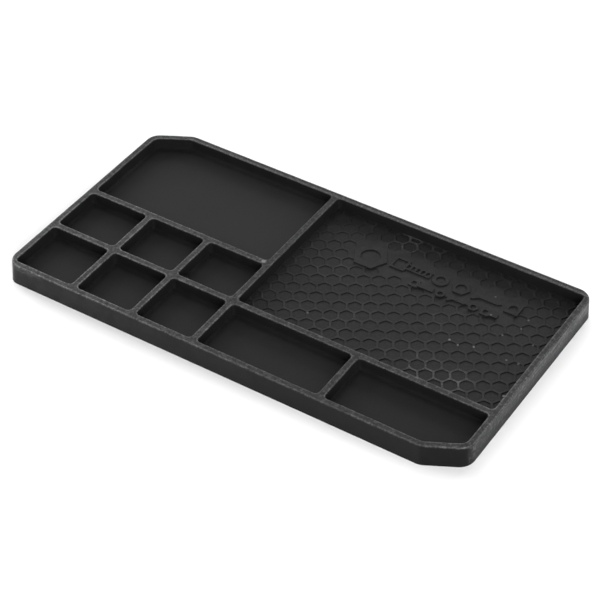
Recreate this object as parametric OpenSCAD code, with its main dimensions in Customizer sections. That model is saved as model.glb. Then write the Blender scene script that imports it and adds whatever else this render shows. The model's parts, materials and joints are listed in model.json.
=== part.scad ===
// Parts sorting tray: a one-piece black rubber moulding with ten shallow
// compartments. Each feature of the moulding is its own solid, and the solids
// meet face to face. Origin: centre of the plan, on the underside.
// +X runs along the length, +Y towards the long back side, +Z up.

/* [Tray] */
// Overall length
tray_l = 210; // [200:1:230]
// Overall width
tray_w = 110; // [106:1:120]
// Overall height
tray_h = 10; // [9:0.5:15]
// Thickness of the floor under the compartments
floor_t = 4.8; // [3:0.1:6]
// Thickness of the outer wall
wall_t = 2.8; // [2.4:0.1:3.4]
// Thickness of the dividers
div_t = 2.8; // [2.4:0.1:3.6]

/* [Corners] */
// Radius of the two square corners (front left and back right)
corner_r = 5.4; // [4.2:0.1:6]
// Cut of the two bevelled corners along the length
bevel_x = 16.3; // [14:0.1:20]
// Cut of the two bevelled corners across the width
bevel_y = 8.7; // [7.5:0.1:11]
// Rounding where a bevel meets a side, on the outside
bevel_r = 7; // [5.5:0.1:8.5]
// Radius in the upright corners of the compartments
pocket_r = 1.8; // [1:0.1:2]

/* [Compartments] */
// Left edge to the centreline of the first cross divider
first_x = 32.4; // [28:0.1:36]
// Spacing of the cross dividers between the small compartments
pitch_x = 29.1; // [26:0.1:30]
// Right-hand cross divider, counted in spacings from the main divider
front_split = 2; // [1.5:0.25:2.5]
// Front edge to the centreline of the long divider
first_y = 29.7; // [26:0.1:32]
// Long divider to the divider behind the small compartments
pitch_y = 26.3; // [24:0.1:28]

/* [Honeycomb] */
// Centre spacing of neighbouring cells that share a flat
hex_pitch = 6.25; // [5.5:0.05:8]
// Width of the raised ribs
rib_w = 0.8; // [0.6:0.1:1.4]
// Height of the ribs above the floor
rib_h = 0.3; // [0.25:0.05:0.8]

/* [Emblem] */
// Height of the emblem above the honeycomb ribs
emblem_h = 0.45; // [0.3:0.05:1]
// Width of the emblem's lines
line_w = 1.1; // [0.8:0.1:1.4]

/* [Hidden] */
$fn = 48;
rubber = [0.17, 0.17, 0.175];
wall_h = tray_h - floor_t;

// outside edges of the tray
right_x = tray_l / 2;
left_x = -right_x;
back_y = tray_w / 2;
front_y = -back_y;

// inside faces of the outer wall
in_left = left_x + wall_t;
in_right = right_x - wall_t;
in_front = front_y + wall_t;
in_back = back_y - wall_t;

// divider centrelines, from left to right and from front to back
small_x1 = left_x + first_x;
small_x2 = small_x1 + pitch_x;
main_x = small_x2 + pitch_x;
split_x = main_x + front_split * pitch_x;
long_y = front_y + first_y;
rear_y = long_y + pitch_y;
half_div = div_t / 2;

// a wall or divider carries the fillets of the dividers that end on it,
// so those dividers stop one pocket radius short of its face
fillet_half = half_div + pocket_r;
fillet_inset = wall_t + pocket_r;
end_left = left_x + fillet_inset;
end_right = right_x - fillet_inset;
end_front = front_y + fillet_inset;
end_back = back_y - fillet_inset;

// ---- rounded polygons: points run anticlockwise, with one radius a corner ----
function unit(v) = v / norm(v);

// directions to the previous and next points, and half the angle between them
function corner(points, i) =
    let (n = len(points),
         to_prev = unit(points[(i + n - 1) % n] - points[i]),
         to_next = unit(points[(i + 1) % n] - points[i]))
    [to_prev, to_next, acos(to_prev * to_next) / 2];

// the two points where each corner's arc meets the sides
function tangents(points, radii) = [
    for (i = [0 : len(points) - 1])
        let (c = corner(points, i), cut = radii[i] / tan(c[2]))
        each [points[i] + c[0] * cut, points[i] + c[1] * cut]];

function arc_centre(points, radii, i) =
    let (c = corner(points, i))
    points[i] + unit(c[0] + c[1]) * radii[i] / sin(c[2]);

module round_poly(points, radii) {
    polygon(tangents(points, radii));
    for (i = [0 : len(points) - 1])
        translate(arc_centre(points, radii, i)) circle(r = radii[i]);
}

// ---- plan of the tray ----
// cut of a bevel on the outline moved in by inset, for an even wall all round
bevel_len = norm([bevel_x, bevel_y]);
function cut_x(inset) = bevel_x - inset * (bevel_x + bevel_y - bevel_len) / bevel_y;
function cut_y(inset) = cut_x(inset) * bevel_y / bevel_x;
in_cut_x = cut_x(wall_t);
in_cut_y = cut_y(wall_t);
// the wall keeps its thickness round the ends of a bevel
bevel_in_r = max(pocket_r, bevel_r - wall_t);

// outline of the tray moved in by inset, with sharp corners, from the front left
function outline_points(inset) = [
    [left_x + inset, front_y + inset],
    [right_x - inset - cut_x(inset), front_y + inset],
    [right_x - inset, front_y + inset + cut_y(inset)],
    [right_x - inset, back_y - inset],
    [left_x + inset + cut_x(inset), back_y - inset],
    [left_x + inset, back_y - inset - cut_y(inset)]];

module outline()
    round_poly(outline_points(0), [corner_r, bevel_r, bevel_r, corner_r, bevel_r, bevel_r]);

// a rectangular compartment between its four faces
module bay(left, right, front, back)
    round_poly([[left, front], [right, front], [right, back], [left, back]],
               [pocket_r, pocket_r, pocket_r, pocket_r]);

// the front right compartment, with its bevelled corner
module bevel_bay_front()
    round_poly([[split_x + half_div, in_front],
                [in_right - in_cut_x, in_front],
                [in_right, in_front + in_cut_y],
                [in_right, long_y - half_div],
                [split_x + half_div, long_y - half_div]],
               [pocket_r, bevel_in_r, bevel_in_r, pocket_r, pocket_r]);

// the back left compartment, with its bevelled corner
module bevel_bay_rear()
    round_poly([[in_left, rear_y + half_div],
                [main_x - half_div, rear_y + half_div],
                [main_x - half_div, in_back],
                [in_left + in_cut_x, in_back],
                [in_left, in_back - in_cut_y]],
               [pocket_r, pocket_r, pocket_r, bevel_in_r, bevel_in_r]);

module large_bay() bay(main_x + half_div, in_right, long_y + half_div, in_back);

// faces of the small compartments: [left, right] and [front, back]
small_columns = [
    [in_left, small_x1 - half_div],
    [small_x1 + half_div, small_x2 - half_div],
    [small_x2 + half_div, main_x - half_div]];
small_rows = [
    [in_front, long_y - half_div],
    [long_y + half_div, rear_y - half_div]];

module bays() {
    for (column = small_columns, row = small_rows)
        bay(column[0], column[1], row[0], row[1]);
    bay(main_x + half_div, split_x - half_div, in_front, long_y - half_div);
    bevel_bay_front();
    bevel_bay_rear();
    large_bay();
}

// ---- the floor and the outer wall ----
module on_floor(height) translate([0, 0, floor_t]) linear_extrude(height) children();

module base_floor() color(rubber) linear_extrude(floor_t) outline();

module outer_wall() color(rubber) on_floor(wall_h) difference() {
    outline();
    bays();
    polygon(outline_points(fillet_inset));
}

// ---- dividers ----
// what the compartments leave of a rectangle: a divider with fillets
module filleted_wall(left, right, front, back)
    on_floor(wall_h) difference() {
        translate([left, front]) square([right - left, back - front]);
        bays();
    }

// a plain divider across the width, centred on x
module cross_wall(x, front, back)
    translate([x - half_div, front, floor_t]) cube([div_t, back - front, wall_h]);

module front_cross_wall(x) cross_wall(x, end_front, long_y - fillet_half);
module rear_cross_wall(x) cross_wall(x, long_y + fillet_half, rear_y - fillet_half);

module long_divider() color(rubber)
    filleted_wall(end_left, end_right, long_y - fillet_half, long_y + fillet_half);
module main_divider() color(rubber)
    filleted_wall(main_x - fillet_half, main_x + fillet_half, long_y + fillet_half, end_back);
// no divider ends on the back of this one, so it has fillets in front only
module rear_bay_divider() color(rubber)
    filleted_wall(end_left, main_x - fillet_half, rear_y - fillet_half, rear_y + half_div);

module main_divider_front() color(rubber) front_cross_wall(main_x);
module front_bay_divider() color(rubber) front_cross_wall(split_x);
module small_divider_front_left() color(rubber) front_cross_wall(small_x1);
module small_divider_front_right() color(rubber) front_cross_wall(small_x2);
module small_divider_rear_left() color(rubber) rear_cross_wall(small_x1);
module small_divider_rear_right() color(rubber) rear_cross_wall(small_x2);

// ---- honeycomb ribs on the floor of the large compartment ----
bay_cx = (main_x + half_div + in_right) / 2;
bay_cy = (long_y + half_div + in_back) / 2;
// the emblem's plain field, without cell centres, from the compartment's centre
field_x = [-37.5, 39.5];
field_y = [10.4, 25.6];
// shift of the cell rows from the compartment's centre
cells_dy = 0.55;

column_pitch = hex_pitch * sqrt(3) / 2;
hex_r = (hex_pitch - rib_w) / sqrt(3);
columns_each_way = ceil((in_right - main_x) / 2 / column_pitch) + 1;
rows_each_way = ceil((in_back - long_y) / 2 / hex_pitch) + 1;

function in_field(x, y) =
    x > bay_cx + field_x[0] && x < bay_cx + field_x[1]
    && y > bay_cy + field_y[0] && y < bay_cy + field_y[1];
function near_bay(x, y) =
    x > main_x - hex_r && x < in_right + hex_r && y > long_y - hex_r && y < in_back + hex_r;

// cell centres; every other column is shifted half a cell back
cells = [
    for (i = [-columns_each_way : columns_each_way], j = [-rows_each_way : rows_each_way])
        let (x = bay_cx + (i + 0.5) * column_pitch,
             y = bay_cy + cells_dy + (j + 0.5 * (abs(i) % 2)) * hex_pitch)
        if (!in_field(x, y) && near_bay(x, y)) [x, y]];

module honeycomb_ribs() color(rubber) on_floor(rib_h) difference() {
    large_bay();
    for (cell = cells)
        translate(cell) circle(r = hex_r, $fn = 6);
}

// ---- emblem: plain pictures of small hardware, in two rows ----
big_y = 20.15; // centreline of the back row, from the compartment's centre
big_h = 7.2;
small_y = 12.85; // centreline of the front row
small_h = 4.2;
threads_from = 5; // cap screws taller than this show their threads
overlap = 0.2; // run of a shank into its head

module hex_nut(r, hole_r) difference() {
    circle(r = r, $fn = 6);
    circle(r = hole_r);
}

module washer(r, hole_r) difference() {
    circle(r = r);
    circle(r = hole_r);
}

module square_nut(side, hole_r) difference() {
    square(side, center = true);
    circle(r = hole_r);
}

module box_line(w, h) difference() {
    square([w, h], center = true);
    square([w - 2 * line_w, h - 2 * line_w], center = true);
}

// cap screw lying along +X: an open box for a head, and a shank
module cap_screw(length, h) {
    head = 0.95 * h;
    shank = length - head;
    shank_r = 0.27 * h;
    edge_w = 0.8 * line_w;
    translate([head / 2, 0]) box_line(head, h);
    if (h > threads_from) {
        for (y = [-shank_r, shank_r - edge_w])
            translate([head - overlap, y]) square([shank + overlap, edge_w]);
        threads = floor(shank / (2 * line_w));
        for (i = [1 : threads])
            translate([head + i * shank / threads - line_w, -shank_r])
                square([line_w, 2 * shank_r]);
    } else {
        translate([head - overlap, -shank_r]) square([shank + overlap, 2 * shank_r]);
    }
}

// flat-headed screw along +X: a wedge head and a plain shank with a point
module flat_screw(length, h) {
    head_r = h / 2;
    head_end = 0.5 * h;
    shank_r = 0.2 * h;
    point_x = length - 0.3 * h;
    polygon([[0, -head_r], [line_w, -head_r], [head_end, -shank_r], [point_x, -shank_r],
             [length, 0],
             [point_x, shank_r], [head_end, shank_r], [line_w, head_r], [0, head_r]]);
}

module emblem_plan() {
    // the large nut at the left, beside both rows
    translate([-29.4, 17.6]) hex_nut(r = 7.75, hole_r = 4.1);
    // back row
    translate([-20.2, big_y]) cap_screw(length = 18, h = big_h);
    translate([2.2, big_y]) washer(r = big_h / 2, hole_r = big_h / 2 - 1.5 * line_w);
    translate([11.6, big_y]) hex_nut(r = 4.15, hole_r = 2.2);
    translate([17.4, big_y]) flat_screw(length = 13, h = 0.86 * big_h);
    translate([35.2, big_y]) square_nut(side = 6.2, hole_r = 1.9);
    // front row
    translate([-8, small_y]) cap_screw(length = 11, h = small_h);
    translate([6, small_y]) washer(r = small_h / 2, hole_r = small_h / 2 - line_w);
    translate([9.6, small_y]) flat_screw(length = 8.5, h = small_h);
    translate([21.1, small_y]) hex_nut(r = 2.4, hole_r = 1.15);
    translate([24.6, small_y]) cap_screw(length = 7.5, h = small_h);
}

module emblem() color(rubber)
    translate([bay_cx, bay_cy, floor_t + rib_h]) linear_extrude(emblem_h) emblem_plan();

base_floor();
outer_wall();
long_divider();
main_divider();
main_divider_front();
rear_bay_divider();
small_divider_front_left();
small_divider_front_right();
small_divider_rear_left();
small_divider_rear_right();
front_bay_divider();
honeycomb_ribs();
emblem();
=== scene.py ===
# Parts sorting tray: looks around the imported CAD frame.
import bpy
import json
import math
import numpy as np
from mathutils import Matrix, Vector, noise
from mathutils.geometry import delaunay_2d_cdt


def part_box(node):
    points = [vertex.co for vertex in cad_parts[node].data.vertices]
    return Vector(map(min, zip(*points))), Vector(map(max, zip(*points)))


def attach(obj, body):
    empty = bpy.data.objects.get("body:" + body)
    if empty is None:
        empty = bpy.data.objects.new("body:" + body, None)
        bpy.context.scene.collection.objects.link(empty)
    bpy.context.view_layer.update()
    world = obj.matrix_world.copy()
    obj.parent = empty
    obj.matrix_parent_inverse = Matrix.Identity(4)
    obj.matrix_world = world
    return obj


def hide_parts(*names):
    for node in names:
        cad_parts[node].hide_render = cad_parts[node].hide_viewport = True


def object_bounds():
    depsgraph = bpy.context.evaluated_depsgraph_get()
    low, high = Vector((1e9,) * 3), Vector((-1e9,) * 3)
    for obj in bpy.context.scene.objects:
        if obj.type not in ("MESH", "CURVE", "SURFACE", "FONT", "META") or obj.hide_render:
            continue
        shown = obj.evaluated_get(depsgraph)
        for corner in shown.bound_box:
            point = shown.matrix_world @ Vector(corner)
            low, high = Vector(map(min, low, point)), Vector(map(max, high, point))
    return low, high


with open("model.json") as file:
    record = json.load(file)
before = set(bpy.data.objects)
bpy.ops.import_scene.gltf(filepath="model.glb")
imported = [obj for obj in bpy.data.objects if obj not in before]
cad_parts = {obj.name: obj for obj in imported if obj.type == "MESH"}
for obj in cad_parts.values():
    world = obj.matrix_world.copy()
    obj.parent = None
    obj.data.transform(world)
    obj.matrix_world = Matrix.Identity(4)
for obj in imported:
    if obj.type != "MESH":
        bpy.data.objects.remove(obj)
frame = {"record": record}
CAD_LO, CAD_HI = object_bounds()
MM = 1000.0

# ------------------------------------------------------------------ sizes, all from the CAD frame, in mm


def mmbox(node):
    lo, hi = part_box(node)
    return np.array(lo) * MM, np.array(hi) * MM


T_LO, T_HI = np.array(CAD_LO) * MM, np.array(CAD_HI) * MM
FT = mmbox("base_floor")[1][2]
H = T_HI[2]
_lo, _hi = mmbox("small_divider_front_left")
DIV = _hi[0] - _lo[0]
HD = DIV / 2
XA = (_lo[0] + _hi[0]) / 2
_lo, _hi = mmbox("small_divider_front_right")
XB = (_lo[0] + _hi[0]) / 2
_lo, _hi = mmbox("main_divider")
XM = (_lo[0] + _hi[0]) / 2
_lo, _hi = mmbox("main_divider_front")
XM = (_lo[0] + _hi[0]) / 2
WI = _lo[1] - T_LO[1]
_lo, _hi = mmbox("front_bay_divider")
XF = (_lo[0] + _hi[0]) / 2
_lo, _hi = mmbox("long_divider")
YA = (_lo[1] + _hi[1]) / 2
E = (_hi[1] - _lo[1]) / 2
PR = E - HD
WALL = WI - PR
_lo, _hi = mmbox("rear_bay_divider")
YB = _hi[1] - HD
_lo, _hi = mmbox("honeycomb_ribs")
RIB_TOP = _hi[2]
EMB_TOP = mmbox("emblem")[1][2]
X0, Y0 = T_LO[0], T_LO[1]
XL, XR, YF, YR = X0 + WALL, -X0 - WALL, Y0 + WALL, -Y0 - WALL
BX, BY = 16.3, 8.7
CORNER_R, BEVEL_R = 5.4, 7.0
CORNER_TOP, CORNER_LOW = 6.3, 4.7  # the square corners round off a little more towards the rim

# ------------------------------------------------------------------ plan contours
# A contour is a closed list of points with unit normals that point out of the rubber. A point at
# distance d sits at p + n * d, so one contour gives every level of a rounded, drafted wall.


def unit(v):
    return v / np.linalg.norm(v)


def rounded(points, radii, step=2.5, arc=math.radians(11), outward=1, counts=None):
    """Points and normals round a polygon (anticlockwise) whose corners are arcs. outward=1 gives
    normals pointing out of the polygon, -1 pointing in. counts fixes the number of steps a side."""
    pts = [np.array(p, float) for p in points]
    n = len(pts)
    ends = []
    for i in range(n):
        a, b = unit(pts[i - 1] - pts[i]), unit(pts[(i + 1) % n] - pts[i])
        half = math.acos(max(-1, min(1, float(a @ b)))) / 2
        d = radii[i] / math.tan(half)
        convex = (pts[i] - pts[i - 1])[0] * (pts[(i + 1) % n] - pts[i])[1] - (pts[i] - pts[i - 1])[1] * (pts[(i + 1) % n] - pts[i])[0] > 0
        c = pts[i] + unit(a + b) * radii[i] / math.sin(half)
        ends.append((pts[i] + a * d, pts[i] + b * d, c, math.pi - 2 * half, convex))
    P, N = [], []
    for i in range(n):
        s, e, c, sweep, convex = ends[i]
        k = max(2, int(math.ceil(sweep / arc)))
        a0 = math.atan2(*(s - c)[::-1])
        sgn = 1 if convex else -1
        for j in range(k + 1):
            t = a0 + sgn * sweep * j / k
            v = np.array([math.cos(t), math.sin(t)])
            P.append(c + radii[i] * v)
            N.append(v * sgn * outward)
        nxt = ends[(i + 1) % n][0]
        length = np.linalg.norm(nxt - e)
        m = max(1, int(round(length / step))) if counts is None else counts[i]
        d = unit(nxt - e)
        nn = np.array([d[1], -d[0]]) * outward
        for j in range(1, m):
            P.append(e + (nxt - e) * j / m)
            N.append(nn)
    return np.array(P), np.array(N)


def in_x(t):
    return BX - t * (BX + BY - math.hypot(BX, BY)) / BY


def in_y(t):
    return in_x(t) * BY / BX


def outline_pts(t):
    return [(X0 + t, Y0 + t), (-X0 - t - in_x(t), Y0 + t), (-X0 - t, Y0 + t + in_y(t)),
            (-X0 - t, -Y0 - t), (X0 + t + in_x(t), -Y0 - t), (X0 + t, -Y0 - t - in_y(t))]


OUTLINE_R = [CORNER_R, BEVEL_R, BEVEL_R, CORNER_R, BEVEL_R, BEVEL_R]


def rect(a, b, c, d):
    return [(a, c), (b, c), (b, d), (a, d)]


BAYS = [
    (rect(XL, XA - HD, YF, YA - HD), 0),
    (rect(XA + HD, XB - HD, YF, YA - HD), 0),
    (rect(XB + HD, XM - HD, YF, YA - HD), 0),
    (rect(XL, XA - HD, YA + HD, YB - HD), 0),
    (rect(XA + HD, XB - HD, YA + HD, YB - HD), 0),
    (rect(XB + HD, XM - HD, YA + HD, YB - HD), 0),
    (rect(XM + HD, XF - HD, YF, YA - HD), 0),
    ([(XF + HD, YF), (XR - in_x(WALL), YF), (XR, YF + in_y(WALL)), (XR, YA - HD), (XF + HD, YA - HD)], 0),
    ([(XL, YB + HD), (XM - HD, YB + HD), (XM - HD, YR), (XL + in_x(WALL), YR), (XL, YR - in_y(WALL))], 0),
    (rect(XM + HD, XR, YA + HD, YR), 1),
]

# ------------------------------------------------------------------ wall profiles: (d, z, normal out, normal up, edge)
R_TOP = 0.34
R_OUT = 0.38
R_FOOT = 1.45
BAND = 0.40  # the rubbed band beside a rounded edge, on the flat and on the wall, also lightened as a painted highlight
DRAFT = math.tan(math.radians(2.0))
LEVELS_TOP = 5


def top_round(r, z_top, d0=0.0):
    """A rounded edge with its rubbed band: the last entry of a row is how rubbed it is, and how strongly the material
    paints a highlight there.
    """
    rows = []
    for k in range(LEVELS_TOP):
        t = math.pi / 2 * k / (LEVELS_TOP - 1)
        rows.append((d0 - r + r * math.cos(t), z_top - r + r * math.sin(t), math.cos(t), math.sin(t), min(1.0, 0.35 + 1.3 * math.sin(t))))
    return rows + [(d0 - r - 0.45 * BAND, z_top, 0.0, 1.0, 0.62), (d0 - r - 1.1 * BAND, z_top, 0.0, 1.0, 0.0)]


def bay_profile():
    rows = []
    df = (H - R_TOP - FT - R_FOOT) * DRAFT
    for k in range(7):
        t = math.pi / 2 * k / 6
        rows.append((df + R_FOOT - R_FOOT * math.sin(t), FT + R_FOOT - R_FOOT * math.cos(t), math.sin(t), math.cos(t), 0.0))
    rows.append((df / 2, (FT + R_FOOT + H - R_TOP) / 2, 1.0, 0.0, 0.0))
    rows.append((df * 0.1, H - R_TOP - BAND, 1.0, 0.0, 0.0))
    return rows + top_round(R_TOP, H)


def large_bay_profile():
    rows = []
    df = (H - R_TOP - FT) * DRAFT
    zs = list(np.linspace(FT, H - R_TOP - BAND, 9))
    for z in zs:
        rows.append((df * (H - R_TOP - z) / (H - R_TOP - FT), z, 1.0, 0.0, 0.0))
    return rows + top_round(R_TOP, H)


def outer_profile():
    rows = [(0.0, z, 1.0, 0.0, 0.0) for z in np.linspace(FT, H - R_OUT - BAND, 9)]
    return rows + top_round(R_OUT, H)


PROFILES = {0: bay_profile(), 1: large_bay_profile(), 2: outer_profile()}

# ------------------------------------------------------------------ mesh building


class Build:
    """Collects faces with one normal a corner, then makes a mesh."""

    def __init__(self):
        self.v, self.key, self.f, self.n, self.edge = [], {}, [], [], []

    def vert(self, p, edge=0.0):
        k = (round(p[0], 4), round(p[1], 4), round(p[2], 4))
        if k not in self.key:
            self.key[k] = len(self.v)
            self.v.append(tuple(p))
            self.edge.append(edge)
        i = self.key[k]
        self.edge[i] = max(self.edge[i], edge)
        return i

    def face(self, idx, normals):
        clean, cn = [], []
        for i, nrm in zip(idx, normals):
            if i not in clean:
                clean.append(i)
                cn.append(nrm)
        if len(clean) >= 3:
            self.f.append(clean)
            self.n.append(cn)

    def mesh(self, name):
        me = bpy.data.meshes.new(name)
        me.from_pydata([(x / MM, y / MM, z / MM) for x, y, z in self.v], [], self.f)
        me.polygons.foreach_set("use_smooth", [True] * len(me.polygons))
        me.update()
        loops = []
        for cn in self.n:
            loops.extend([tuple(c) for c in cn])
        me.normals_split_custom_set(loops)
        a = me.attributes.new("edge", "FLOAT", "POINT")
        a.data.foreach_set("value", np.array(self.edge, np.float32))
        me.validate(clean_customdata=False)
        return me


def wobble(P, N):
    """A slight waviness of moulded rubber edges; a function of place alone, so that pieces that meet agree."""
    out = np.zeros(len(P))
    for i, p in enumerate(P):
        out[i] = 0.09 * noise.noise(Vector((p[0] * 0.16, p[1] * 0.16, 3.7))) + 0.05 * noise.noise(Vector((p[0] * 0.55, p[1] * 0.55, 9.1)))
    return out


def triangulate(loops):
    """Triangles of the region between closed loops of 2D points, as indices in input order."""
    pts = np.concatenate(loops)
    edges, base = [], 0
    for l in loops:
        k = len(l)
        edges += [(base + i, base + (i + 1) % k) for i in range(k)]
        base += k
    res = delaunay_2d_cdt([Vector(p) for p in pts], edges, [], 1, 1e-6, True)
    verts, faces, orig_v = res[0], res[2], res[3]
    back = [o[0] if o else None for o in orig_v]
    if any(back[i] is None for f in faces for i in f):
        raise RuntimeError(f"triangulate: the loops cross near {[tuple(verts[i]) for i in range(len(verts)) if not orig_v[i]][:3]}")
    tri = np.array([[back[i] for i in f] for f in faces])
    cen = pts[tri].mean(1)
    ea = pts[np.array([e[0] for e in edges])]
    eb = pts[np.array([e[1] for e in edges])]
    inside = np.zeros(len(cen), bool)
    for s0 in range(0, len(cen), 2000):
        c = cen[s0:s0 + 2000]
        above = (ea[None, :, 1] > c[:, None, 1]) != (eb[None, :, 1] > c[:, None, 1])
        with np.errstate(divide="ignore", invalid="ignore"):
            x = ea[None, :, 0] + (c[:, None, 1] - ea[None, :, 1]) * (eb[None, :, 0] - ea[None, :, 0]) / (eb[None, :, 1] - ea[None, :, 1])
        inside[s0:s0 + 2000] = (above & (x > c[:, None, 0])).sum(1) % 2 == 1
    return tri[inside].tolist()


def solid(b, loops, z_bottom_flat=True):
    """Adds the closed solid of a region. Each loop: dict P, N (k,2), prof (k,) row lists, cut (k,) bools for the edge that starts at i. Rubber is on the left of each loop."""
    top, bottom, tops, bots = [], [], [], []
    for L in loops:
        P, N, prof, cut = L["P"], L["N"], L["prof"], L["cut"]
        low = L.get("low")
        k = len(P)
        levels = len(prof[0])
        idx = np.zeros((k, levels), int)
        nrm = np.zeros((k, levels, 3))
        pos2 = np.zeros((k, levels, 2))
        for i in range(k):
            for j, (d, z, cn, sn, ed) in enumerate(prof[i]):
                q = P[i] + N[i] * d
                if low is not None:
                    q = q + (low[i] - P[i]) * (1 - z / H)
                pos2[i, j] = q
                idx[i, j] = b.vert((q[0], q[1], z), ed)
                nrm[i, j] = (N[i][0] * cn, N[i][1] * cn, sn)
        for i in range(k):
            m = (i + 1) % k
            if cut[i]:
                dv = unit(pos2[m, 0] - pos2[i, 0])
                fn = (dv[1], -dv[0], 0.0)
            for j in range(levels - 1):
                q = [idx[i, j], idx[m, j], idx[m, j + 1], idx[i, j + 1]]
                if cut[i]:
                    b.face(q, [fn] * 4)
                else:
                    b.face(q, [nrm[i, j], nrm[m, j], nrm[m, j + 1], nrm[i, j + 1]])
        top.append(pos2[:, -1])
        tops.append(idx[:, -1])
        if L.get("blind"):  # a recess with its own floor
            b.face([int(i) for i in idx[::-1, 0]], [(0.0, 0.0, 1.0)] * k)
            continue
        bottom.append(pos2[:, 0])
        bots.append(idx[:, 0])
    tops, bots = np.concatenate(tops), np.concatenate(bots)

    def cap(rings, ids, up):
        for t in triangulate(rings):
            q = [int(ids[i]) for i in t]
            a, c, d = (np.array(b.v[i]) for i in q)
            ccw = np.cross(c[:2] - a[:2], d[:2] - a[:2]) > 0
            if ccw != up:
                q.reverse()
            b.face(q, [(0, 0, 1.0 if up else -1.0)] * 3)

    cap(top, tops, True)
    cap(bottom, bots, False)


def loop_of(P, N, profile, cut=None):
    k = len(P)
    return {"P": P, "N": N, "prof": [profile] * k, "cut": [False] * k if cut is None else cut}


# ------------------------------------------------------------------ the moulding's walls, divided at its features


def inside_inset(p):
    """Is p inside the outline moved in by WI?"""
    q = outline_pts(WI)
    for i in range(6):
        a, c = np.array(q[i]), np.array(q[(i + 1) % 6])
        if (c - a)[0] * (p - a)[1] - (c - a)[1] * (p - a)[0] < -1e-6:
            return False
    return True


def owner(p):
    if not inside_inset(p):
        return "outer_wall"
    x, y = p
    if abs(y - YA) < E:
        return "long_divider"
    if abs(x - XM) < E:
        return "main_divider" if y > YA else "main_divider_front"
    if x < XM and YB - E < y < YB + E:
        return "rear_bay_divider"
    best = min((abs(x - c), nm) for c, nm in ((XA, "left"), (XB, "right"), (XF, "front")))[1]
    if best == "front":
        return "front_bay_divider"
    return f"small_divider_{'front' if y < YA else 'rear'}_{best}"


edges_of = {}
for pts, prof in BAYS:
    radii = [PR] * len(pts)
    if len(pts) == 5:  # the wall keeps its thickness round the ends of a bevel
        k = 1 if pts[0][0] > 0 else 3
        radii[k] = radii[k + 1] = BEVEL_R - WALL
    P, N = rounded(pts, radii, step=2.5, outward=-1)
    P = P + N * wobble(P, N)[:, None]
    k = len(P)
    for i in range(k):
        j = (i + 1) % k
        if np.linalg.norm(P[i] - P[j]) < 1e-6:
            continue
        # reversed, so that the rubber is on the left
        edges_of.setdefault(owner((P[i] + P[j]) / 2), []).append((P[j], N[j], P[i], N[i], prof))


def chains(edges):
    key = lambda p: (round(float(p[0]), 3), round(float(p[1]), 3))
    start = {key(e[0]): e for e in edges}
    ends = {key(e[2]) for e in edges}
    heads = [e for e in edges if key(e[0]) not in ends]
    out = []
    for h in heads:
        c, e = [(h[0], h[1], h[4])], h
        while True:
            c.append((e[2], e[3], e[4]))
            if key(e[2]) in start:
                e = start[key(e[2])]
            else:
                break
        out.append(c)
    return out


def wall_loops(name):
    cs = chains(edges_of[name])
    used, loops = set(), []
    while len(used) < len(cs):
        i = next(k for k in range(len(cs)) if k not in used)
        P, N, prof, cut = [], [], [], []
        while i not in used:
            used.add(i)
            for p, n_, pr in cs[i]:
                P.append(p)
                N.append(n_)
                prof.append(PROFILES[pr])
                cut.append(False)
            cut[-1] = True
            end = cs[i][-1][0]
            i = min(range(len(cs)), key=lambda k: np.linalg.norm(cs[k][0][0] - end) if cs[k] else 1e9)
        loops.append({"P": np.array(P), "N": np.array(N), "prof": prof, "cut": cut})
    return loops


WALLS = ["outer_wall", "long_divider", "main_divider", "main_divider_front", "rear_bay_divider",
         "small_divider_front_left", "small_divider_front_right", "small_divider_rear_left",
         "small_divider_rear_right", "front_bay_divider"]
meshes = {}
SIDES = [max(1, int(round(v / 2.5))) for v in (184, 9, 94, 184, 9, 94)]
OP, ON = rounded(outline_pts(0), [CORNER_TOP, BEVEL_R, BEVEL_R, CORNER_TOP, BEVEL_R, BEVEL_R], counts=SIDES)
OLOW, _ = rounded(outline_pts(0), [CORNER_LOW, BEVEL_R, BEVEL_R, CORNER_LOW, BEVEL_R, BEVEL_R], counts=SIDES)
OP = OP - ON * (0.04 + 0.9 * np.abs(wobble(OP, ON)))[:, None]
for name in WALLS:
    b = Build()
    loops = wall_loops(name)
    if name == "outer_wall":
        loops = [dict(loop_of(OP, ON, PROFILES[2]), low=OLOW)] + loops
    solid(b, loops)
    meshes[name] = b.mesh(name)

# ------------------------------------------------------------------ the floor slab
R_BASE = 0.22


def slab_profile():
    rows = []
    for k in range(5):
        t = math.pi / 2 * k / 4
        rows.append((-R_BASE + R_BASE * math.sin(t), R_BASE - R_BASE * math.cos(t), math.sin(t), -math.cos(t), 0.0))
    return rows + [(0.0, (FT + R_BASE) / 2, 1.0, 0.0, 0.0), (0.0, FT, 1.0, 0.0, 0.0)]


b = Build()
solid(b, [dict(loop_of(OP, ON, slab_profile()), low=OLOW)])
meshes["base_floor"] = b.mesh("base_floor")

# ------------------------------------------------------------------ honeycomb ribs
HEX, RIB = 6.25, 0.8
HXS = HEX * math.sqrt(3) / 2
BCX, BCY = (XM + HD + XR) / 2, (YA + HD + YR) / 2
FX0, FX1, FY0, FY1 = BCX - 37.5, BCX + 39.5, BCY + 10.4, BCY + 25.6
WALL_D = (H - R_TOP - FT) * DRAFT
RIB_H = RIB_TOP - FT


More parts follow.
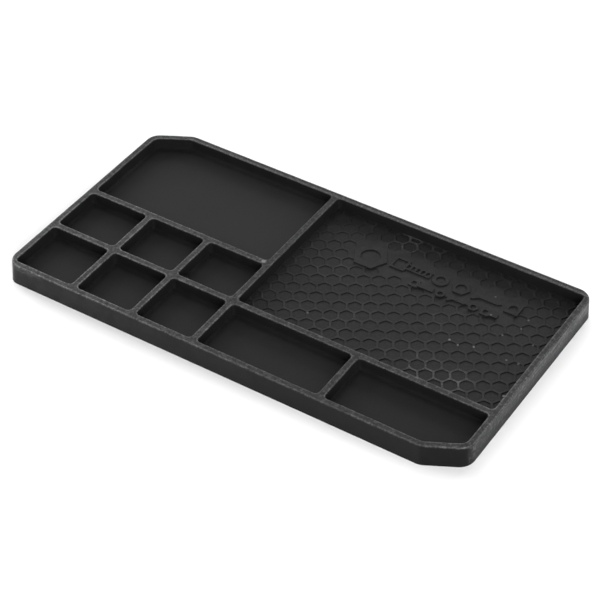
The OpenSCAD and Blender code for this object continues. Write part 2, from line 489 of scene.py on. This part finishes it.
def rib_profile():
    """A soft, dished cell: a wide concave foot, a short slope and a rounded top edge."""
    r, f = 0.14, 0.30
    lean = math.radians(52)
    # concave foot, from the cell floor up to the slope
    foot = [(f * (1 - math.sin(t)), f * (1 - math.cos(t)), math.sin(t), math.cos(t)) for t in np.linspace(0, lean, 5)]
    top = [(-r + r * math.cos(t), RIB_H - r + r * math.sin(t), math.cos(t), math.sin(t)) for t in np.linspace(math.pi / 2 - lean, math.pi / 2, 5)]
    # slide the foot out so that the slope joins the two arcs
    dz = top[0][1] - foot[-1][1]
    shift = top[0][0] + dz / math.tan(lean) - foot[-1][0]
    rows = [(d + shift, FT + z, c, s_, 0.0) for d, z, c, s_ in foot]
    rows += [(d, FT + z, c, s_, 0.6 if 0 < i < 4 else 0.25) for i, (d, z, c, s_) in enumerate(top)]
    return rows


def edge_profile(levels):
    rows = [(WALL_D, z, 1.0, 0.0, 0.0) for z in np.linspace(FT, RIB_TOP, levels)]
    return rows


def clip(poly, planes):
    """Convex polygon clipped to half planes (normal, limit): normal . p <= limit."""
    for n_, lim in planes:
        out = []
        for i in range(len(poly)):
            a, c = poly[i], poly[(i + 1) % len(poly)]
            da, dc = float(a @ n_) - lim, float(c @ n_) - lim
            if da <= 0:
                out.append(a)
            if (da <= 0) != (dc <= 0):
                out.append(a + (c - a) * da / (da - dc))
        poly = out
        if len(poly) < 3:
            return []
    keep = []
    for p in poly:
        if not keep or np.linalg.norm(p - keep[-1]) > 1e-6:
            keep.append(p)
    if len(keep) > 1 and np.linalg.norm(keep[0] - keep[-1]) < 1e-6:
        keep.pop()
    return keep


def inradius(poly):
    c = np.mean(poly, axis=0)
    best = 1e9
    for i in range(len(poly)):
        a, d = poly[i], poly[(i + 1) % len(poly)]
        n_ = unit(np.array([(d - a)[1], -(d - a)[0]]))
        best = min(best, abs(float((c - a) @ n_)))
    return best


cells = []
MARGIN = 0.62
planes = []
for sx, wx in ((1, XR), (-1, XM + HD)):
    planes.append((np.array([sx, 0.0]), sx * wx - MARGIN))
    for sy, wy in ((1, YR), (-1, YA + HD)):
        if sx > 0:
            planes.append((np.array([0.0, sy]), sy * wy - MARGIN))
        m_ = np.array([sx, sy]) / math.sqrt(2)
        planes.append((m_, float(m_ @ np.array([wx - sx * PR, wy - sy * PR])) + PR - MARGIN))
HR = (HEX - RIB) / math.sqrt(3)
for i in range(-13, 13):
    for j in range(-9, 10):
        c = np.array([BCX + (i + 0.5) * HXS, BCY + 0.55 + (j + 0.5 * (abs(i) % 2)) * HEX])
        if FX0 < c[0] < FX1 and FY0 < c[1] < FY1:
            continue
        poly = [c + HR * np.array([math.cos(math.radians(60 * k)), math.sin(math.radians(60 * k))]) for k in range(6)]
        poly = clip(poly, planes)
        if len(poly) < 3 or inradius(poly) < 0.75:
            continue
        # drop slivers of edge that are too short for their corner arcs
        while True:
            lens = [np.linalg.norm(poly[(k + 1) % len(poly)] - poly[k]) for k in range(len(poly))]
            k = int(np.argmin(lens))
            if lens[k] > 0.75 or len(poly) <= 3:
                break
            poly[k] = (poly[k] + poly[(k + 1) % len(poly)]) / 2
            poly.pop((k + 1) % len(poly))
        cells.append(poly)

b = Build()
rp = rib_profile()
corner = [(XM + HD, YA + HD), (XR, YA + HD), (XR, YR), (XM + HD, YR)]
BP, BN = rounded(corner, [PR] * 4, step=2.5)
BPW = BP + (-BN) * wobble(BP, -BN)[:, None]
edge_rows = [(-WALL_D, z, 1.0, 0.0, 0.0) for z in np.linspace(FT, RIB_TOP, len(rp))]
loops = [loop_of(BPW, BN, edge_rows)]
deepest = max(r_[0] for r_ in rp)
for poly in cells:
    k = len(poly)
    tf = []
    for i in range(k):
        a_, b_ = unit(poly[i - 1] - poly[i]), unit(poly[(i + 1) % k] - poly[i])
        tf.append(1 / math.tan(math.acos(max(-1, min(1, float(a_ @ b_)))) / 2))
    r_fit = min([1.2] + [0.97 * np.linalg.norm(poly[(i + 1) % k] - poly[i]) / (tf[i] + tf[(i + 1) % k]) for i in range(k)])
    if r_fit < 0.3:
        continue
    P, N = rounded(poly, [r_fit] * k, step=9, arc=math.radians(12), outward=-1)
    P, N = P[::-1].copy(), N[::-1].copy()
    q = min(1.0, (r_fit - 0.05) / deepest)
    # the cells are shallower beside the left wall, and no two are quite the same depth
    cx, cy = np.mean(poly, axis=0)
    w = 0.86 + 0.10 * noise.noise(Vector((cx * 0.31, cy * 0.31, 2.3)))
    w *= 1 - 0.42 * min(1.0, max(0.0, (0.0 - cx) / 11)) - 0.22 * min(1.0, max(0.0, (cy - 34) / 10)) * min(1.0, max(0.0, (22 - cx) / 12))
    rows = []
    for d, z, cn, sn, ed in rp:
        m_ = math.hypot(cn * w, sn)
        rows.append((d * q if d > 0 else d, RIB_TOP - (RIB_TOP - z) * w, cn * w / m_, sn / m_, ed))
    loops.append(dict(loop_of(P, N, rows), blind=True))
solid(b, loops)
meshes["honeycomb_ribs"] = b.mesh("honeycomb_ribs")

# ------------------------------------------------------------------ emblem
LINE = 1.1


def raised_profile():
    r, f = 0.16, 0.12
    rows = []
    for k in range(3):
        t = math.pi / 2 * k / 2
        rows.append((f - f * math.sin(t), RIB_TOP + f - f * math.cos(t), math.sin(t), math.cos(t), 0.0))
    for k in range(4):
        t = math.pi / 2 * k / 3
        rows.append((-r + r * math.cos(t), EMB_TOP - r + r * math.sin(t), math.cos(t), math.sin(t), math.sin(2 * t) if 0 < k < 3 else 0.0))
    return rows


def ring_pts(c, r, n=36):
    t = np.linspace(0, 2 * math.pi, n, endpoint=False)
    N = np.stack([np.cos(t), np.sin(t)], 1)
    return np.array(c) + r * N, N


def hexagon(r):
    return [(r * math.cos(math.radians(60 * k)), r * math.sin(math.radians(60 * k))) for k in range(6)]


def rbox(x0, x1, y0, y1):
    return [(x0, y0), (x1, y0), (x1, y1), (x0, y1)]


glyphs = []  # (centre, outer polygon or radius, [holes])


def g_nut(c, r, hole):
    glyphs.append((c, hexagon(r), [hole]))


def g_washer(c, ro, ri):
    glyphs.append((c, ro, [ri]))


def g_cap(c, length, h):
    head = 0.95 * h
    s = 0.27 * h
    outer = [(0, -h / 2), (head, -h / 2), (head, -s), (length, -s), (length, s), (head, s), (head, h / 2), (0, h / 2)]
    holes = [rbox(LINE, head - LINE, -h / 2 + LINE, h / 2 - LINE)]
    if h > 5:
        n_ = math.floor((length - head) / (2 * LINE))
        prev = head
        for i in range(1, n_ + 1):
            a = head + i * (length - head) / n_ - LINE
            holes.append(rbox(prev if i > 1 else prev, a, -s + LINE * 0.8, s - LINE * 0.8))
            prev = a + LINE
    glyphs.append((c, outer, holes))


def g_flat(c, length, h):
    w = 0.5 * h
    glyphs.append((c, [(0, -h / 2), (LINE, -h / 2), (w, -0.2 * h), (length - 0.3 * h, -0.2 * h), (length, 0),
                       (length - 0.3 * h, 0.2 * h), (w, 0.2 * h), (LINE, h / 2), (0, h / 2)], []))


big_y, big_h, small_y, small_h = 20.15, 7.2, 12.85, 4.2
g_nut((-29.4, 17.6), 7.75, 4.1)
g_cap((-20.2, big_y), 18, big_h)
g_washer((2.2, big_y), big_h / 2, big_h / 2 - 1.5 * LINE)
g_nut((11.6, big_y), 4.15, 2.2)
g_flat((17.4, big_y), 13, big_h * 0.86)
glyphs.append(((35.2, big_y), rbox(-3.1, 3.1, -3.1, 3.1), [1.9]))
g_cap((-8, small_y), 11, small_h)
g_washer((6, small_y), small_h / 2, small_h / 2 - LINE)
g_flat((9.6, small_y), 8.5, small_h)
g_nut((21.1, small_y), 2.4, 1.15)
g_cap((24.6, small_y), 7.5, small_h)

b = Build()
ep = raised_profile()
for c, outer, holes in glyphs:
    c = np.array([BCX + c[0], BCY + c[1]])
    loops = []
    if isinstance(outer, (int, float)):
        P, N = ring_pts(c, outer)
        loops.append(loop_of(P, N, ep))
    else:
        P, N = rounded([c + np.array(p) for p in outer], [0.28] * len(outer), step=50, arc=math.radians(30))
        loops.append(loop_of(P, N, ep))
    for h_ in holes:
        if isinstance(h_, (int, float)):
            P, N = ring_pts(c, h_)
        else:
            P, N = rounded([c + np.array(p) for p in h_], [0.28] * len(h_), step=50, arc=math.radians(30))
        P, N = P[::-1].copy(), -N[::-1].copy()
        loops.append(loop_of(P, N, ep))
    solid(b, loops)
meshes["emblem"] = b.mesh("emblem")

# ------------------------------------------------------------------ materials
TUNE = {
    "base": 0.0062,      # black rubber
    "spec": 0.155, "rough": 0.60,
    "top": 0.0175, "grit": 0.025,        # grey bloom on the rims and divider tops, graded by painted light, and grit
    "edge": 0.052,       # rubbed edges, partly a painted highlight
    "nick": 0.065,        # small nicks along the edges
    "right": 0.060,      # bloom and painted light on the right-hand outside wall
    "front": 0.006,
    "rib": 0.008, "dust": 0.20,
    "foot": 0.40, "nook": 0.45,
}


class Shade:
    """Builds a node graph from short expressions; every input is a socket or a number."""

    def __init__(self, mat):
        mat.use_nodes = True
        self.t = mat.node_tree
        self.t.nodes.clear()

    def plug(self, sock, v):
        if isinstance(v, bpy.types.NodeSocket):
            self.t.links.new(v, sock)
        else:
            sock.default_value = v

    def node(self, kind, **kw):
        n = self.t.nodes.new(kind)
        for k, v in kw.items():
            setattr(n, k, v)
        return n

    def op(self, name, a, b_=0.0, clamp=False):
        n = self.node("ShaderNodeMath", operation=name, use_clamp=clamp)
        self.plug(n.inputs[0], a)
        self.plug(n.inputs[1], b_)
        return n.outputs[0]

    def add(self, *v):
        r = v[0]
        for q in v[1:]:
            r = self.op("ADD", r, q)
        return r

    def mul(self, *v):
        r = v[0]
        for q in v[1:]:
            r = self.op("MULTIPLY", r, q)
        return r

    def step(self, v, lo, hi, a=0.0, b_=1.0):
        """Smooth step of v from lo to hi, giving a to b_."""
        n = self.node("ShaderNodeMapRange", interpolation_type="SMOOTHSTEP", clamp=True)
        self.plug(n.inputs["Value"], v)
        for nm, q in (("From Min", lo), ("From Max", hi), ("To Min", a), ("To Max", b_)):
            self.plug(n.inputs[nm], q)
        return n.outputs["Result"]

    def scaled(self, vec, k):
        n = self.node("ShaderNodeVectorMath", operation="MULTIPLY")
        self.plug(n.inputs[0], vec)
        n.inputs[1].default_value = k
        return n.outputs[0]

    def noise(self, vec, scale, detail=2.0, rough=0.5):
        n = self.node("ShaderNodeTexNoise")
        self.plug(n.inputs["Vector"], vec)
        n.inputs["Scale"].default_value = scale
        n.inputs["Detail"].default_value = detail
        n.inputs["Roughness"].default_value = rough
        return n.outputs[0]


def rubber(name, ribbed=False):
    """Black moulded rubber: fine grain, a grey bloom where it is handled, lighter rubbed edges, with painted light and
    painted shade in its colour and sheen.
    """
    mat = bpy.data.materials.new(name)
    g = Shade(mat)
    out = g.node("ShaderNodeOutputMaterial")
    bsdf = g.node("ShaderNodeBsdfPrincipled")
    g.t.links.new(bsdf.outputs["BSDF"], out.inputs["Surface"])
    tc = g.node("ShaderNodeTexCoord")
    p = g.scaled(tc.outputs["Object"], (MM, MM, MM))
    sx = g.node("ShaderNodeSeparateXYZ")
    g.plug(sx.inputs[0], p)
    x, y, z = sx.outputs
    sn = g.node("ShaderNodeSeparateXYZ")
    g.plug(sn.inputs[0], tc.outputs["Normal"])
    nx, ny, nz = sn.outputs
    edge = g.node("ShaderNodeAttribute", attribute_name="edge").outputs["Fac"]

    coarse = g.noise(p, 0.045, 2.0)          # patches about 20 mm across
    middle = g.noise(p, 0.30, 3.0, 0.6)      # blotches of 3 mm
    fine = g.noise(p, 1.3, 3.0, 0.6)         # specks of under 1 mm
    wall = g.step(nz, 0.55, 0.25)            # upright faces

    # rims and divider tops: a grey bloom with painted light on it, strongest at the front left, weakest on the long
    # middle stretch
    bloom_and_painted_light = g.mul(g.step(x, -104.0, 35.0, 1.42, 0.56), g.step(y, -22.0, 26.0, 1.0, 0.72), g.step(x, 85.0, 104.0, 1.0, 1.5),
                 g.step(y, 47.0, 53.0, 1.0, 0.62), g.add(1.0, g.mul(g.step(x, -101.0, -103.0), g.step(y, -40.0, 45.0, 0.12, -0.30))))
    # the main divider's top gets less of this bloom and painted light than the rims
    bloom_and_painted_light = g.mul(bloom_and_painted_light, g.add(1.0, g.mul(g.step(x, -16.5, -16.0), g.step(x, -12.3, -12.8), g.step(y, -22.0, -16.0), -0.28)))
    top = g.mul(g.step(z, H - 0.25, H - 0.05), g.step(nz, 0.5, 0.9))
    speck = g.noise(p, 0.85, 4.0, 0.7)
    top_bloom_and_light = g.mul(top, bloom_and_painted_light, TUNE["top"], g.step(middle, 0.25, 0.75, 0.6, 1.4), g.step(speck, 0.30, 0.70, 0.2, 1.8))
    # lighter rounded edges: part real wear, part a painted highlight along the rounding
    wear_and_edge_highlight = g.mul(edge, bloom_and_painted_light, TUNE["edge"], g.step(fine, 0.30, 0.70, 0.05, 1.75), g.step(middle, 0.3, 0.7, 0.65, 1.35))
    nick = g.mul(g.step(edge, 0.3, 0.8), bloom_and_painted_light, TUNE["nick"], g.step(g.noise(p, 0.62, 2.0, 0.7), 0.60, 0.70))
    # painted shade: rounded edges that face +x in the left part, or face the front in the front half, are painted
    # darker
    edge_shade_px = g.mul(g.step(nx, 0.10, 0.60), g.step(x, -20.0, -40.0), -0.55)
    edge_shade_ny = g.mul(g.step(ny, -0.10, -0.60), g.step(y, -45.0, 0.0), -0.45)
    edge_side_shade = g.mul(g.add(1.0, edge_shade_px), g.add(1.0, edge_shade_ny))
    wear_and_edge_highlight, nick = g.mul(wear_and_edge_highlight, edge_side_shade), g.mul(nick, edge_side_shade, g.step(x, -101.0, -93.0))
    # the back rim is rubbed mostly along its inner edge
    back = g.mul(g.step(y, 51.8, 52.2), g.step(y, 53.6, 53.1), g.step(z, H - 0.6, H - 0.2))
    wear_and_edge_highlight = g.add(wear_and_edge_highlight, g.mul(back, 0.024, g.step(fine, 0.30, 0.70, 0.4, 1.5)))
    if ribbed:
        wear_and_edge_highlight = g.mul(wear_and_edge_highlight, g.step(z, H - 1.0, H - 0.5))
        nick = g.mul(nick, g.step(z, H - 1.0, H - 0.5))
    grit = g.step(g.noise(p, 0.72, 2.0, 0.7), 0.52, 0.64)
    extra = g.add(top_bloom_and_light, wear_and_edge_highlight, nick, g.mul(top, grit, TUNE["grit"]))

    if not ribbed:
        # the right-hand outside wall: long streaks of bloom laid over painted light, fading towards the foot and the
        # front
        side = g.mul(wall, g.step(nx, 0.78, 0.97), g.step(x, 101.0, 103.0))
        streak = g.noise(g.scaled(p, (1.0, 0.075, 2.4)), 1.0, 4.0, 0.65)
        extra = g.add(extra, g.mul(side, TUNE["right"], g.step(z, 0.5, 8.5, 0.22, 1.0), g.step(y, -50.0, 45.0, 0.24, 0.95),
                                   g.step(streak, 0.30, 0.70, 0.1, 1.9), g.step(speck, 0.30, 0.70, 0.45, 1.55)),
                      g.mul(side, grit, g.step(z, 0.5, 6.0, 0.012, 0.045)))
        # the front outside wall: painted light that grows towards the left end, and a smudged band under the rim at the
        # left
        face = g.mul(wall, g.step(ny, -0.5, -0.9), g.step(y, -51.0, -54.0))
        rub = g.noise(g.scaled(p, (0.35, 1.0, 1.6)), 1.0, 3.0, 0.65)
        smudge = g.mul(g.step(x, -104.0, -98.0), g.step(x, -84.0, -94.0), g.step(g.add(z, g.mul(rub, 3.0)), 8.2, 10.8), g.step(rub, 0.3, 0.65, 0.2, 1.3))
        extra = g.add(extra, g.mul(face, g.add(g.mul(TUNE["front"], g.step(x, 40.0, -100.0, 0.0, 1.2), g.step(middle, 0.3, 0.7, 0.5, 1.5)),
                                               g.mul(smudge, 0.034))))
        # the left end of the front corner: painted light on the upright faces there that turn to the left
        extra = g.add(extra, g.mul(wall, g.step(nx, -0.32, -0.52), g.step(y, -44.0, -50.0), 0.045, g.step(fine, 0.3, 0.7, 0.6, 1.4)))
        # a rubbed spot where the rear bay's divider ends
        for gx, gy, gr, k in ((-17.0, 1.2, 1.35, 0.13), (-19.1, 1.6, 0.8, 0.05), (-20.8, 2.2, 0.7, 0.035)):
            dx, dy = g.add(x, -gx), g.add(y, -gy)
            extra = g.add(extra, g.mul(g.step(g.add(g.mul(dx, dx), g.mul(dy, dy)), gr * gr, 0.0), g.step(z, H - 0.6, H - 0.3), k))
    else:
        # dust on the tops of the ribs, in patches, and a few bright grains
        high = g.step(z, RIB_TOP - 0.07, RIB_TOP - 0.05)
        patch = g.add(g.step(g.noise(p, 0.055, 3.0), 0.48, 0.70), g.mul(g.step(x, 40.0, 100.0), g.step(y, 10.0, -25.0), 0.8))
        spot = g.mul(g.step(x, 54.0, 66.0), g.step(x, 92.0, 80.0), g.step(y, -4.0, -11.0))
        spot2 = g.mul(g.step(x, 16.0, 22.0), g.step(x, 34.0, 28.0), g.step(y, 42.0, 44.0), 0.55)
        extra = g.add(extra, g.mul(high, TUNE["rib"], g.add(0.1, patch, g.mul(g.add(spot, spot2), 3.0, g.step(fine, 0.3, 0.65, 0.3, 1.6))), g.step(middle, 0.3, 0.7, 0.4, 1.6)))
        vor = g.node("ShaderNodeTexVoronoi", feature="F1")
        g.plug(vor.inputs["Vector"], p)
        vor.inputs["Scale"].default_value = 0.16
        pick = g.node("ShaderNodeSeparateXYZ")
        g.plug(pick.inputs[0], vor.outputs["Color"])
        grain = g.mul(g.step(vor.outputs["Distance"], 0.10, 0.05), g.step(pick.outputs[0], 0.90, 0.91), TUNE["dust"])
        extra = g.add(extra, grain)
        # three larger grains caught on the ribs
        for gx, gy, gr in ((67.0, 5.6, 0.75), (71.3, 4.7, 0.60), (77.0, 7.1, 0.70)):
            dx, dy = g.add(x, -gx), g.add(y, -gy)
            extra = g.add(extra, g.mul(g.step(g.add(g.mul(dx, dx), g.mul(dy, dy)), gr * gr, 0.0), high, TUNE["dust"], 0.55))
        # and smaller ones towards the right-hand end
        for gx, gy, gr in ((83.1, 19.2, 0.55), (87.7, 26.2, 0.50), (73.9, 26.6, 0.60), (87.8, 32.2, 0.65), (70.1, 37.5, 0.55), (96.1, 8.0, 0.65), (91.1, 7.5, 0.55), (95.9, 20.4, 0.50)):
            dx, dy = g.add(x, -gx), g.add(y, -gy)
            extra = g.add(extra, g.mul(g.step(g.add(g.mul(dx, dx), g.mul(dy, dy)), gr * gr, 0.0), 0.075))

    # overall a slight unevenness
    body = g.mul(TUNE["base"], g.step(middle, 0.2, 0.8, 0.86, 1.14), g.step(coarse, 0.3, 0.7, 0.94, 1.06))
    alb = g.op("MINIMUM", g.add(body, extra), 0.45)
    comb = g.node("ShaderNodeCombineColor")
    g.plug(comb.inputs[0], alb)
    g.plug(comb.inputs[1], alb)
    g.plug(comb.inputs[2], g.mul(alb, 1.02))
    g.plug(bsdf.inputs["Base Color"], comb.outputs[0])
    # painted shade: the sheen is cut along the front wall, more towards its right end, and most on the front-right
    # bevel
    sheen = g.mul(TUNE["spec"], g.step(fine, 0.2, 0.8, 0.84 if ribbed else 0.92, 1.16 if ribbed else 1.08))
    if ribbed:
        sheen = g.mul(sheen, g.step(speck, 0.30, 0.70, 0.84, 1.16))
    if not ribbed:
        out_front = g.mul(wall, g.step(ny, -0.08, -0.55), g.step(g.add(y, g.mul(x, -0.2)), -56.0, -58.5))
        bevel = g.mul(g.step(x, 85.0, 90.0), g.step(nx, 0.05, 0.35), g.step(nx, 0.98, 0.86))
        sheen = g.mul(sheen, g.add(1.0, g.mul(out_front, g.add(g.step(x, -40.0, 80.0, -0.06, -0.20), g.mul(bevel, -0.40)))))
    # painted shade: less sheen at the feet of the walls and in the upright corners of the compartments, where shade
    # falls
    foot = g.mul(g.step(nz, 0.06, 0.30), g.step(nz, 0.995, 0.93), g.step(z, FT + 1.9, FT + 1.3), g.step(z, FT - 0.2, FT - 0.05))
    nook = g.mul(wall, g.step(g.add(x, g.mul(y, -1.0)), 110.0, 100.0), g.step(nx, 0.10, 0.55), g.step(ny, -0.10, -0.55))
    pit = g.mul(g.step(nx, 0.06, 0.30), g.step(ny, -0.06, -0.30), g.step(nz, 0.99, 0.90), g.step(nz, 0.15, 0.40),
                g.step(z, H - 1.0, H - 1.5), g.step(g.add(x, g.mul(y, -1.0)), 110.0, 100.0))
    sheen = g.mul(sheen, g.add(1.0, g.mul(foot, -TUNE["foot"])), g.add(1.0, g.mul(nook, -TUNE["nook"])), g.add(1.0, g.mul(pit, -0.65)))
    g.plug(bsdf.inputs["Specular IOR Level"], sheen)
    g.plug(bsdf.inputs["Roughness"], g.op("MINIMUM", g.add(TUNE["rough"] - 0.04, g.mul(middle, 0.08), g.mul(extra, 1.5)), 0.9))
    bump = g.node("ShaderNodeBump")
    bump.inputs["Strength"].default_value = 0.35
    bump.inputs["Distance"].default_value = 0.00004
    g.plug(bump.inputs["Height"], g.add(g.noise(p, 2.6, 3.0, 0.6), g.mul(middle, 1.2)))
    g.plug(bsdf.inputs["Normal"], bump.outputs["Normal"])
    return mat


MATERIALS = {"moulded_rubber": rubber("moulded_rubber"), "divider_rubber": rubber("divider_rubber"),
             "ribbed_rubber": rubber("ribbed_rubber", ribbed=True)}
SLOT_OF = {s_["node"]: s_["material_slot"] for s_ in frame["record"]["subparts"]}

for name, me in meshes.items():
    o = bpy.data.objects.new(f"rubber_{name}", me)
    bpy.context.scene.collection.objects.link(o)
    me.materials.append(MATERIALS[SLOT_OF[name]])
    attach(o, "root")
    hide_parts(name)

# ------------------------------------------------------------------ stage, light and camera
S = (T_HI[0] - T_LO[0]) / 100.0 / MM  # one hundredth of the tray's length, in metres

floor_mat = bpy.data.materials.new("white_table")
floor_mat.use_nodes = True
fb = floor_mat.node_tree.nodes["Principled BSDF"]
fb.inputs["Base Color"].default_value = (0.9, 0.9, 0.9, 1)
fb.inputs["Roughness"].default_value = 0.9
fb.inputs["Specular IOR Level"].default_value = 0.0
# far from the tray the table stays white to the eye only, and seen from below it is clear
tt = floor_mat.node_tree
geo = tt.nodes.new("ShaderNodeNewGeometry")
path = tt.nodes.new("ShaderNodeLightPath")
away = tt.nodes.new("ShaderNodeVectorMath")
away.operation = "LENGTH"
far = tt.nodes.new("ShaderNodeMapRange")
far.interpolation_type = "SMOOTHSTEP"
far.inputs["From Min"].default_value, far.inputs["From Max"].default_value = 0.25, 0.6
seen = tt.nodes.new("ShaderNodeMath")
seen.operation = "MULTIPLY"
glow = tt.nodes.new("ShaderNodeEmission")
clear = tt.nodes.new("ShaderNodeBsdfTransparent")
mix1, mix2 = tt.nodes.new("ShaderNodeMixShader"), tt.nodes.new("ShaderNodeMixShader")
for a_, b_ in ((geo.outputs["Position"], away.inputs[0]), (away.outputs["Value"], far.inputs["Value"]),
               (far.outputs["Result"], seen.inputs[0]), (path.outputs["Is Camera Ray"], seen.inputs[1]),
               (seen.outputs[0], mix1.inputs[0]), (fb.outputs[0], mix1.inputs[1]), (glow.outputs[0], mix1.inputs[2]),
               (geo.outputs["Backfacing"], mix2.inputs[0]), (mix1.outputs[0], mix2.inputs[1]), (clear.outputs[0], mix2.inputs[2]),
               (mix2.outputs[0], tt.nodes["Material Output"].inputs["Surface"])):
    tt.links.new(a_, b_)
fme = bpy.data.meshes.new("table_top")
fme.from_pydata([(-6, -6, 0), (6, -6, 0), (6, 6, 0), (-6, 6, 0)], [], [(0, 1, 2, 3)])
table = bpy.data.objects.new("table_top", fme)
bpy.context.scene.collection.objects.link(table)
fme.materials.append(floor_mat)

world = bpy.data.worlds.new("studio")
bpy.context.scene.world = world
world.use_nodes = True
world.node_tree.nodes["Background"].inputs["Color"].default_value = (1, 1, 1, 1)
eye = world.node_tree.nodes.new("ShaderNodeLightPath")  # a white backdrop that gives no light
world.node_tree.links.new(eye.outputs["Is Camera Ray"], world.node_tree.nodes["Background"].inputs["Strength"])

LIGHTS = {}


def softbox(name, az, el, dist, w, h, power):
    """A soft light at azimuth az (0 is +X, anticlockwise) and elevation el, aimed at the tray."""
    d = bpy.data.lights.new(name, "AREA")
    d.shape = "RECTANGLE"
    d.size, d.size_y = w, h
    d.energy = power
    o = bpy.data.objects.new(name, d)
    bpy.context.scene.collection.objects.link(o)
    a, e = math.radians(az), math.radians(el)
    v = Vector((math.cos(a) * math.cos(e), math.sin(a) * math.cos(e), math.sin(e)))
    o.location = v * dist
    o.rotation_mode = "QUATERNION"
    o.rotation_quaternion = v.to_track_quat("Z", "Y")
    LIGHTS[name] = o
    return o


# a white studio: bright low walls all round, brightest behind and on the left, and softer light from above
RIG = [("a0_12", 0, 12, 0.175), ("a90_12", 90, 12, 1.026), ("a135_12", 135, 12, 0.139), ("a180_12", 180, 12, 1.415),
       ("a315_12", 315, 12, 0.437), ("a135_25", 135, 25, 0.176), ("a270_25", 270, 25, 0.114), ("a315_25", 315, 25, 1.031),
       ("a0_42", 0, 42, 0.194), ("a135_64", 135, 64, 0.331)]
for nm, az, el, k_ in RIG:
    softbox(nm, az, el, 1.0, 0.7, 0.7, 10 * k_)

cam_data = bpy.data.cameras.new("camera")
cam_data.sensor_width = 36.0
cam_data.lens = 1991.9 / 600 * 36.0
cam = bpy.data.objects.new("camera", cam_data)
bpy.context.scene.collection.objects.link(cam)
fwd = Vector((-0.4058, 0.6286, -0.6634)).normalized()
right = Vector((0.8414, 0.5403, -0.0027))
right = (right - right.dot(fwd) * fwd).normalized()
up = right.cross(fwd)
rot = Matrix((right, up, -fwd)).transposed()
cam.matrix_world = Matrix.Translation(Vector((156.15, -240.98, 253.66)) * S) @ rot.to_4x4()
cam_data.clip_start, cam_data.clip_end = 0.01, 50
bpy.context.scene.camera = cam
bpy.context.scene.view_settings.view_transform = "Standard"

bpy.context.view_layer.update()
